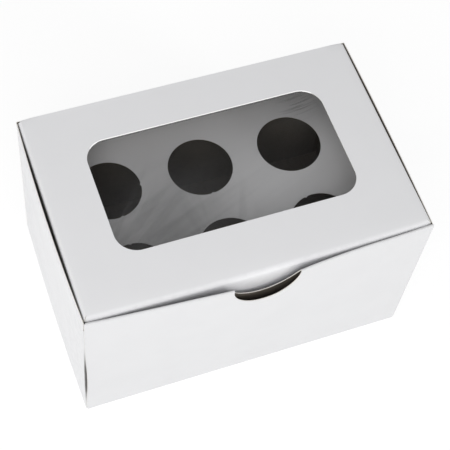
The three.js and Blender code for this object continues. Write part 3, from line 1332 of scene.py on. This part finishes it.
@dataclass
class Lid:
    """The lid panel with its window, side flaps and tuck flap.

    The corner reach is in fold radii, and so are the rear reach and fall of the panel's two rear
    corners. The dome rises to the rear, and at the panel's middle it has the middle share. The
    cuts that round the flaps' corners end at the stop below the top.
    """

    sizes: CartonSizes
    side_radius: float = 2.4 * MM
    tuck_radius: float = 2.9 * MM
    side_depth: float = 34 * MM
    side_taper: float = math.radians(12)
    tuck_lean: float = 8.0
    tuck_inset: float = 10 * MM
    tuck_inset_drop: float = 3 * MM
    tuck_taper: float = math.radians(9)
    corner_radius: float = 8 * MM
    corner_reach: float = 0.9
    corner_fade: float = 2 * MM
    rear_gap: float = 1.2 * MM
    rear_reach: float = 0.8
    rear_fall: float = 0.35
    window: Pair = (161 * MM, 83.3 * MM)
    window_centre: Pair = (0.6 * MM, 7.0 * MM)
    window_radius: float = 14.5 * MM
    rim: float = 0.46 * MM
    rim_reach: float = 5 * MM
    # The rim's white and glow are a painted highlight along the window's back edge.
    rim_highlight_white: Triple = (0.98, 0.98, 0.975)
    rim_highlight_glow: float = 0.28
    front_bow: float = 1.3 * MM
    bow_share: float = 0.35
    dome: float = 0.5 * MM
    dome_middle: float = 0.4
    cut_stop: float = 34 * MM / 6
    cuts: tuple[int, int, int] = (34, 22, 8)

    def build(self, finishes: BoardFinishes) -> bpy.types.Object:
        """Folds the sheet and dresses it.

        Args:
            finishes: The finishes of its sides and cut edges.

        Returns:
            The finished piece.
        """
        sheet = FoldedSheet("carton_lid")
        self.panel(sheet)
        for side in Side:
            self.side_flap(sheet, side)
        self.tuck_flap(sheet)
        side_line, front, rear = self.bounds
        reach = side_line - self.side_radius
        lows = (-reach, front + self.tuck_radius, self.sizes.tuck_tip)
        sheet.refine(lows, (reach, rear, self.sizes.top - self.cut_stop), self.cuts)
        sheet.shape(self.sway)
        sheet.face_out((0, rear, self.sizes.top), (0, 0, 1))
        sheet.thicken(self.sizes.board, finishes.stack())
        sheet.die_cut(self.window_die(finishes.edge))
        self.window_rim_with_painted_highlight(sheet)
        return sheet.smooth()

    @cached_property
    def bounds(self) -> Triple:
        """Middle of the board at the side flaps, the front fold and the rear edge.

        Returns:
            The side flaps' distance from the middle, and the places of the front and rear.
        """
        low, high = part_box("lid")
        half_board = self.sizes.board / 2
        return high.x - half_board, low.y + half_board, high.y

    @cached_property
    def level(self) -> float:
        """Middle of the board in the lid panel."""
        return self.sizes.top - self.sizes.board / 2

    @cached_property
    def creases(self) -> tuple[tuple[Axis, float], ...]:
        """Where the coating is rubbed: the two side folds and the front fold."""
        side, front, _ = self.bounds
        return (Axis.X, -side), (Axis.X, side), (Axis.Y, front)

    def panel(self, sheet: FoldedSheet) -> None:
        """Lays the lid panel between its folds.

        Args:
            sheet: The sheet to build on.
        """
        side, front, rear = self.bounds
        reach = side - self.side_radius
        sheet.panel((-reach, front + self.tuck_radius), (reach, rear), self.level)
        sheet.cut(Axis.Y, (rear - self.rear_gap,))

    def side_flap(self, sheet: FoldedSheet, side: Side) -> None:
        """Folds one side flap down.

        Args:
            sheet: The sheet to build on.
            side: Which side flap.
        """
        reach, _, rear = self.bounds
        sign = side.value
        foot = sign * (reach - self.side_radius)
        end = rear - self.rear_gap + TOUCH
        sheet.pick(lambda at: abs(at.x - foot) < TOUCH and at.y < end)
        sheet.fold((foot, 0, self.level - self.side_radius), (0, sign, 0), 90)
        sheet.pull((0, 0, -(self.side_depth - self.side_radius - self.sizes.board / 2)))

    def tuck_flap(self, sheet: FoldedSheet) -> None:
        """Folds the tuck flap down, a little further than the side flaps.

        Args:
            sheet: The sheet to build on.
        """
        _, front, _ = self.bounds
        start = front + self.tuck_radius
        fold_level = self.level - self.tuck_radius
        sheet.pick(lambda at: at.y < start + TOUCH and at.z > self.level - TOUCH)
        sheet.fold((0, start, fold_level), Axis.X.value, 90 + self.tuck_lean)
        lean = math.radians(self.tuck_lean)
        run = (fold_level - self.tuck_radius * math.sin(lean) - self.sizes.tuck_tip) / math.cos(lean)
        sheet.pull((0, run * math.sin(lean), -run * math.cos(lean)))

    def sway(self, at: Vector) -> Vector:
        """Where a point of the lid goes as flaps taper and the panel bows.

        Args:
            at: The point on the plain folded lid.

        Returns:
            The point on the real one.
        """
        side, front, rear = self.bounds
        moved = at.copy()
        fold_end = self.level - self.side_radius
        start = front + self.tuck_radius
        across = at.x / side
        if abs(at.x) > side - NEAR:
            drop = max(0.0, fold_end - at.z)
            middle = (start + rear) / 2
            half = (rear - self.rear_gap - start) / 2
            inset = drop * math.tan(self.side_taper)
            inset += self.corner_inset(at.z, self.level - self.side_depth)
            moved.y = middle + (at.y - middle) * (half - inset) / half
            if at.y < start + NEAR:
                moved.y -= self.corner_reach * self.tuck_radius * max(0.0, 1 - drop / self.corner_fade)
        elif at.y < start - NEAR or at.z < fold_end - NEAR:
            drop = max(0.0, self.level - self.tuck_radius - at.z)
            half = side - self.side_radius
            inset = self.tuck_inset * min(1.0, drop / self.tuck_inset_drop)
            inset += drop * math.tan(self.tuck_taper) + self.corner_inset(at.z, self.sizes.tuck_tip)
            turned = share((self.level - at.z) / self.tuck_radius)
            spare = self.corner_reach * self.side_radius * math.sqrt(1 - (1 - turned) ** 2)
            inset -= spare * max(0.0, 1 - drop / self.corner_fade)
            moved.x = at.x * (half - inset) / half
            moved.y -= self.front_bow * (1 - across * across)
        elif abs(at.x) > side - self.side_radius + NEAR:
            turned = math.sqrt(max(0.0, 1 - ((side - abs(at.x)) / self.side_radius) ** 2))
            if at.y < start + NEAR:
                moved.y -= self.corner_reach * self.tuck_radius * (1 - math.sqrt(1 - turned**2))
        else:
            if at.y > rear - NEAR and abs(at.x) > side - self.side_radius - NEAR:
                moved.x += math.copysign(self.rear_reach * self.side_radius, at.x)
                moved.z -= self.rear_fall * self.side_radius
            ahead = max(0.0, 1 - (at.y - start) / (self.bow_share * (rear - start)))
            moved.y -= self.front_bow * (1 - across * across) * ahead
            along = (2 * at.y - start - rear) / (rear - start)
            rise = self.dome_middle + (1 - self.dome_middle) * along
            moved.z -= self.dome * (1 - across**4) * (1 - along**4) * rise
        return moved

    def corner_inset(self, z: float, tip: float) -> float:
        """How far a rounded flap corner draws in.

        Args:
            z: The height.
            tip: The height of the flap's tip.

        Returns:
            The distance at that height.
        """
        above = min(self.corner_radius, max(0.0, z - tip))
        fall = self.corner_radius - above
        return self.corner_radius - math.sqrt(max(0.0, self.corner_radius**2 - fall**2))

    def window_die(self, edge: bpy.types.Material) -> bpy.types.Object:
        """The die that cuts the window."""
        centre = (*self.window_centre, self.sizes.top)
        return window_cutter(centre, (*self.window, DIE_HEIGHT), self.window_radius, edge)

    def window_rim_with_painted_highlight(self, sheet: FoldedSheet) -> None:
        """Crushes the window's back edge into a slope with a glowing white finish, a painted highlight.

        Args:
            sheet: The cut sheet.
        """
        painted_highlight = CutEdge("window_rim_with_painted_highlight", self.rim_highlight_white, self.rim_highlight_white, self.rim_highlight_glow).material()
        (x, y), (width, depth) = self.window_centre, self.window
        low = (x - width / 2 - self.rim, y + depth / 2 - self.rim_reach)
        high = (x + width / 2 + self.rim, y + depth / 2 + self.rim)
        sheet.crush_rim(low, high, self.rim, painted_highlight)


@dataclass(frozen=True)
class Pucker:
    """Pull lines that run in from one corner of the film, headed by an angle in degrees."""

    right: bool
    rear: bool
    degrees: float
    ridges: float
    spread: float = 0.42
    reach: float = 75 * MM

    def depth(self, at: Vector, low: Vector, high: Vector) -> float:
        """How deep the lines are at a point.

        Args:
            at: The point on the flat film.
            low: The film's lowest corner.
            high: Its highest corner.

        Returns:
            The depth, from 0 to 1.
        """
        dx = at.x - (high.x if self.right else low.x)
        dy = at.y - (high.y if self.rear else low.y)
        angle = math.atan2(dy, dx) - math.radians(self.degrees)
        angle = (angle + math.pi) % (2 * math.pi) - math.pi
        fan = math.exp(-((angle / self.spread) ** 2)) * math.exp(-((math.hypot(dx, dy) / self.reach) ** 2))
        return fan * (0.5 + 0.5 * math.cos(self.ridges * angle))


@dataclass
class WindowFilm:
    """The clear film under the window, drawn tight between glue lines but faintly puckered."""

    sizes: CartonSizes
    pucker_height: float = 0.35 * MM
    puckers: tuple[Pucker, ...] = (
        Pucker(False, False, 38, 35.0),
        Pucker(True, True, 212, 28.0),
        Pucker(False, True, -30, 21.0),
    )
    glue_margin: float = 6 * MM
    glue_fade: float = 10 * MM
    crisp_angle: float = 60.0
    cuts: tuple[int, int] = (110, 64)

    def build(self, finish: bpy.types.Material) -> bpy.types.Object:
        """Makes the film.

        Args:
            finish: The film's finish.

        Returns:
            The finished piece.
        """
        low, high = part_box("window_film")
        sheet = FoldedSheet("clear_window_film", crisp_angle=self.crisp_angle)
        sheet.panel((low.x, low.y), (high.x, high.y), (low.z + high.z) / 2)
        sheet.refine(low, high, self.cuts)
        sheet.shape(lambda at: self.puckered(at, low, high))
        sheet.face_out((0, 0, high.z), (0, 0, 1))
        sheet.thicken(high.z - low.z, [finish])
        return sheet.smooth()

    def puckered(self, at: Vector, low: Vector, high: Vector) -> Vector:
        """Lowers a point of the film by the pull lines that run in from the corners.

        Args:
            at: The point on the flat film.
            low: The film's lowest corner.
            high: Its highest corner.

        Returns:
            The point on the puckered film.
        """
        inside = min(at.x - low.x, high.x - at.x, at.y - low.y, high.y - at.y) - self.glue_margin
        depth = sum(pucker.depth(at, low, high) for pucker in self.puckers)
        moved = at.copy()
        moved.z -= self.pucker_height * depth * share(inside / self.glue_fade)
        return moved


@dataclass
class ConeInsert:
    """The holed deck that the cones stand in, on its front and back legs.

    A nick is the column and row of its hole and its heading in degrees. The probe is how far from
    its left end the deck is looked at, to find its white side.
    """

    sizes: CartonSizes
    hole_radius: float = 22 * MM
    pitch: float = 64.3 * MM
    columns: int = 3
    rows: int = 2
    sag: float = 0.5 * MM
    nick: float = 0.8 * MM
    nicks: tuple[tuple[int, int, float], ...] = (
        (0, 1, -4), (0, 1, -82), (1, 1, -86), (0, 0, 86), (2, 0, 100),
    )
    probe: float = 5 * MM
    cuts: tuple[int, int] = (24, 14)

    def build(self, finishes: BoardFinishes) -> bpy.types.Object:
        """Folds the insert and dresses it.

        Args:
            finishes: The finishes of its sides and cut edges.

        Returns:
            The finished piece.
        """
        low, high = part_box("cone_insert")
        radius = self.sizes.crease_radius
        half_board = self.sizes.board / 2
        front, back = low.y + half_board, high.y - half_board
        deck = high.z - half_board
        sheet = FoldedSheet("holed_insert")
        sheet.panel((low.x, front + radius), (high.x, back - radius), deck)
        leg = deck - radius - low.z
        sheet.pick(lambda at: at.y < front + radius + TOUCH)
        sheet.fold((0, front + radius, deck - radius), Axis.X.value, 90)
        sheet.pull((0, 0, -leg))
        sheet.pick(lambda at: at.y > back - radius - TOUCH)
        sheet.fold((0, back - radius, deck - radius), (-1, 0, 0), 90)
        sheet.pull((0, 0, -leg))
        sheet.refine((low.x, front), (high.x, back), self.cuts)
        middle, half = (low + high) / 2, (high - low) / 2
        sheet.shape(lambda at: self.sagging(at, middle, half, deck))
        sheet.face_out((low.x + self.probe, middle.y, deck), (0, 0, 1))
        sheet.thicken(self.sizes.board, finishes.stack())
        sheet.die_cut(self.hole_dies(middle, deck, finishes.edge))
        return sheet.smooth()

    def sagging(self, at: Vector, middle: Vector, half: Vector, deck: float) -> Vector:
        """Lowers the deck a little towards its middle.

        Args:
            at: The point on the level insert.
            middle: The insert's middle.
            half: Half of its size.
            deck: The height of its deck.

        Returns:
            The point on the sagging one.
        """
        moved = at.copy()
        if at.z > deck - NEAR:
            across, along = (at.x - middle.x) / half.x, (at.y - middle.y) / half.y
            moved.z -= self.sag * max(0.0, 1 - across**2) * max(0.0, 1 - along**2)
        return moved

    def hole_dies(self, middle: Vector, deck: float, edge: bpy.types.Material) -> bpy.types.Object:
        """The round dies that cut the holes.

        Args:
            middle: The insert's middle.
            deck: The height of its deck.
            edge: The finish that they leave.

        Returns:
            The dies as one cutter.
        """
        dies = []
        for column in range(self.columns):
            for row in range(self.rows):
                x = middle.x + (column - (self.columns - 1) / 2) * self.pitch
                y = middle.y + (row - (self.rows - 1) / 2) * self.pitch
                die = round_cutter((x, y, deck), self.hole_radius, DIE_HEIGHT, Axis.Z, edge)
                for nick_column, nick_row, degrees in self.nicks:
                    if (nick_column, nick_row) == (column, row):
                        self.nick_die(die, (x, y), math.radians(degrees))
                dies.append(die)
        return join(dies)

    def nick_die(self, die: bpy.types.Object, centre: Pair, heading: float) -> None:
        """Dents a round die, so that it leaves a small tag of board on the hole's edge.

        Args:
            die: The die.
            centre: Its middle.
            heading: The dent's direction from there, in radians.
        """
        for vertex in die.data.vertices:
            dx, dy = vertex.co.x - centre[0], vertex.co.y - centre[1]
            off = (math.atan2(dy, dx) - heading + math.pi) % (2 * math.pi) - math.pi
            if abs(off) < math.pi / ROUND_FACETS and math.hypot(dx, dy) > self.hole_radius / 2:
                vertex.co.x -= self.nick * math.cos(heading)
                vertex.co.y -= self.nick * math.sin(heading)


# Studio


@dataclass(frozen=True)
class SoftBox:
    """One soft studio light, aimed at the carton."""

    name: str
    place: Triple
    size: float
    watts: float

    def light(self, target: Vector) -> None:
        """Hangs the light.

        Args:
            target: The point that it is aimed at.
        """
        data = bpy.data.lights.new(self.name, "AREA")
        data.shape = "SQUARE"
        data.size = self.size
        data.energy = self.watts
        lamp = bpy.data.objects.new(self.name, data)
        lamp.location = self.place
        aim = target - Vector(self.place)
        lamp.rotation_euler = aim.to_track_quat("-Z", "Y").to_euler()
        bpy.context.scene.collection.objects.link(lamp)


@dataclass(frozen=True)
class Studio:
    """White sweep, soft light and the camera, whose three turns are in degrees."""

    camera_place: Triple = (-195.34 * MM, -378.07 * MM, 807.84 * MM)
    camera_turn: Triple = (30.12, 9.395, -27.974)
    lens: float = 100.66
    sensor: float = 36.0
    floor_size: float = 12.0
    floor_drop: float = 0.2 * MM
    world_strength: float = 0.50
    aim: Triple = (0, 0, 80 * MM)
    boxes: tuple[SoftBox, ...] = (
        SoftBox("main_softbox", (-0.30, -0.60, 0.85), 0.5, 2.6),
        SoftBox("key_softbox", (0.90, -1.30, 0.70), 0.4, 5.0),
        SoftBox("side_softbox", (-1.40, -0.10, 0.50), 0.8, 5.4),
    )

    def build(self, floor_finish: bpy.types.Material) -> None:
        """Lays the floor, hangs the lights and stands the camera up.

        Args:
            floor_finish: The floor's finish.
        """
        self.floor(floor_finish)
        self.world()
        for box in self.boxes:
            box.light(Vector(self.aim))
        self.camera()

    def floor(self, finish: bpy.types.Material) -> None:
        """Lays the wide floor just under the carton.

        Args:
            finish: The floor's finish.
        """
        deselect_all()
        bpy.ops.mesh.primitive_plane_add(size=self.floor_size, location=(0, 0, -self.floor_drop))
        floor = bpy.context.object
        floor.name = "studio_floor"
        floor.data.materials.append(finish)

    def world(self) -> None:
        """Sets an even white surround."""
        world = bpy.data.worlds.new("studio_world")
        world.use_nodes = True
        background = world.node_tree.nodes["Background"]
        background.inputs["Color"].default_value = colour(1, 1, 1)
        background.inputs["Strength"].default_value = self.world_strength
        bpy.context.scene.world = world
        bpy.context.scene.view_settings.view_transform = "Standard"

    def camera(self) -> None:
        """Stands the camera where the photograph was taken from."""
        data = bpy.data.cameras.new("camera")
        data.lens = self.lens
        data.sensor_width = self.sensor
        camera = bpy.data.objects.new("camera", data)
        tilt, roll, heading = (math.radians(angle) for angle in self.camera_turn)
        turn = Matrix.Rotation(heading, 4, "Z") @ Matrix.Rotation(tilt, 4, "X")
        camera.matrix_world = Matrix.Translation(self.camera_place) @ (turn @ Matrix.Rotation(roll, 4, "Z"))
        bpy.context.scene.collection.objects.link(camera)
        bpy.context.scene.camera = camera


def main() -> None:
    """Builds the pieces and the studio."""
    logging.basicConfig(level=logging.INFO, format="%(name)s %(message)s")
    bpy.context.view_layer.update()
    sizes = CartonSizes()
    body, lid = BoxBody(sizes), Lid(sizes)
    back = KraftBack("kraft_back").material()
    # Painted shade: a darker copy of the kraft back, for the box's dim inside.
    shaded_body_back = KraftBack("shaded_body_kraft_back", (0.195, 0.168, 0.142), (0.138, 0.12, 0.1)).material()
    edge = CutEdge("cut_edge").material()
    # Painted shade: a darker copy of the lid's white board that tones the walls down; it also carries the
    # crease wear and the painted slit shadow.
    shaded_body_white = CoatedBoard(
        "shaded_body_board",
        (0.755, 0.756, 0.766),
        (0.695, 0.695, 0.707),
        creases=body.creases,
        slit_shadows=(body.corner_slit_shadow,),
    ).material()
    lid_white = CoatedBoard("lid_board", (0.868, 0.869, 0.884), creases=lid.creases).material()
    insert_white = CoatedBoard("insert_board", (0.872, 0.866, 0.868), (0.808, 0.80, 0.803)).material()
    carton = body.build(BoardFinishes(shaded_body_white, shaded_body_back, edge))
    seat(carton, Body.BOX, "box_body")
    insert = ConeInsert(sizes).build(BoardFinishes(insert_white, back, edge))
    seat(insert, Body.BOX, "cone_insert")
    seat(lid.build(BoardFinishes(lid_white, back, edge)), Body.LID, "lid")
    film = WindowFilm(sizes).build(ClearFilm("clear_film").material())
    seat(film, Body.LID, "window_film")
    Studio().build(PaleFloor("pale_floor").material())


if __name__ == "__main__":
    main()
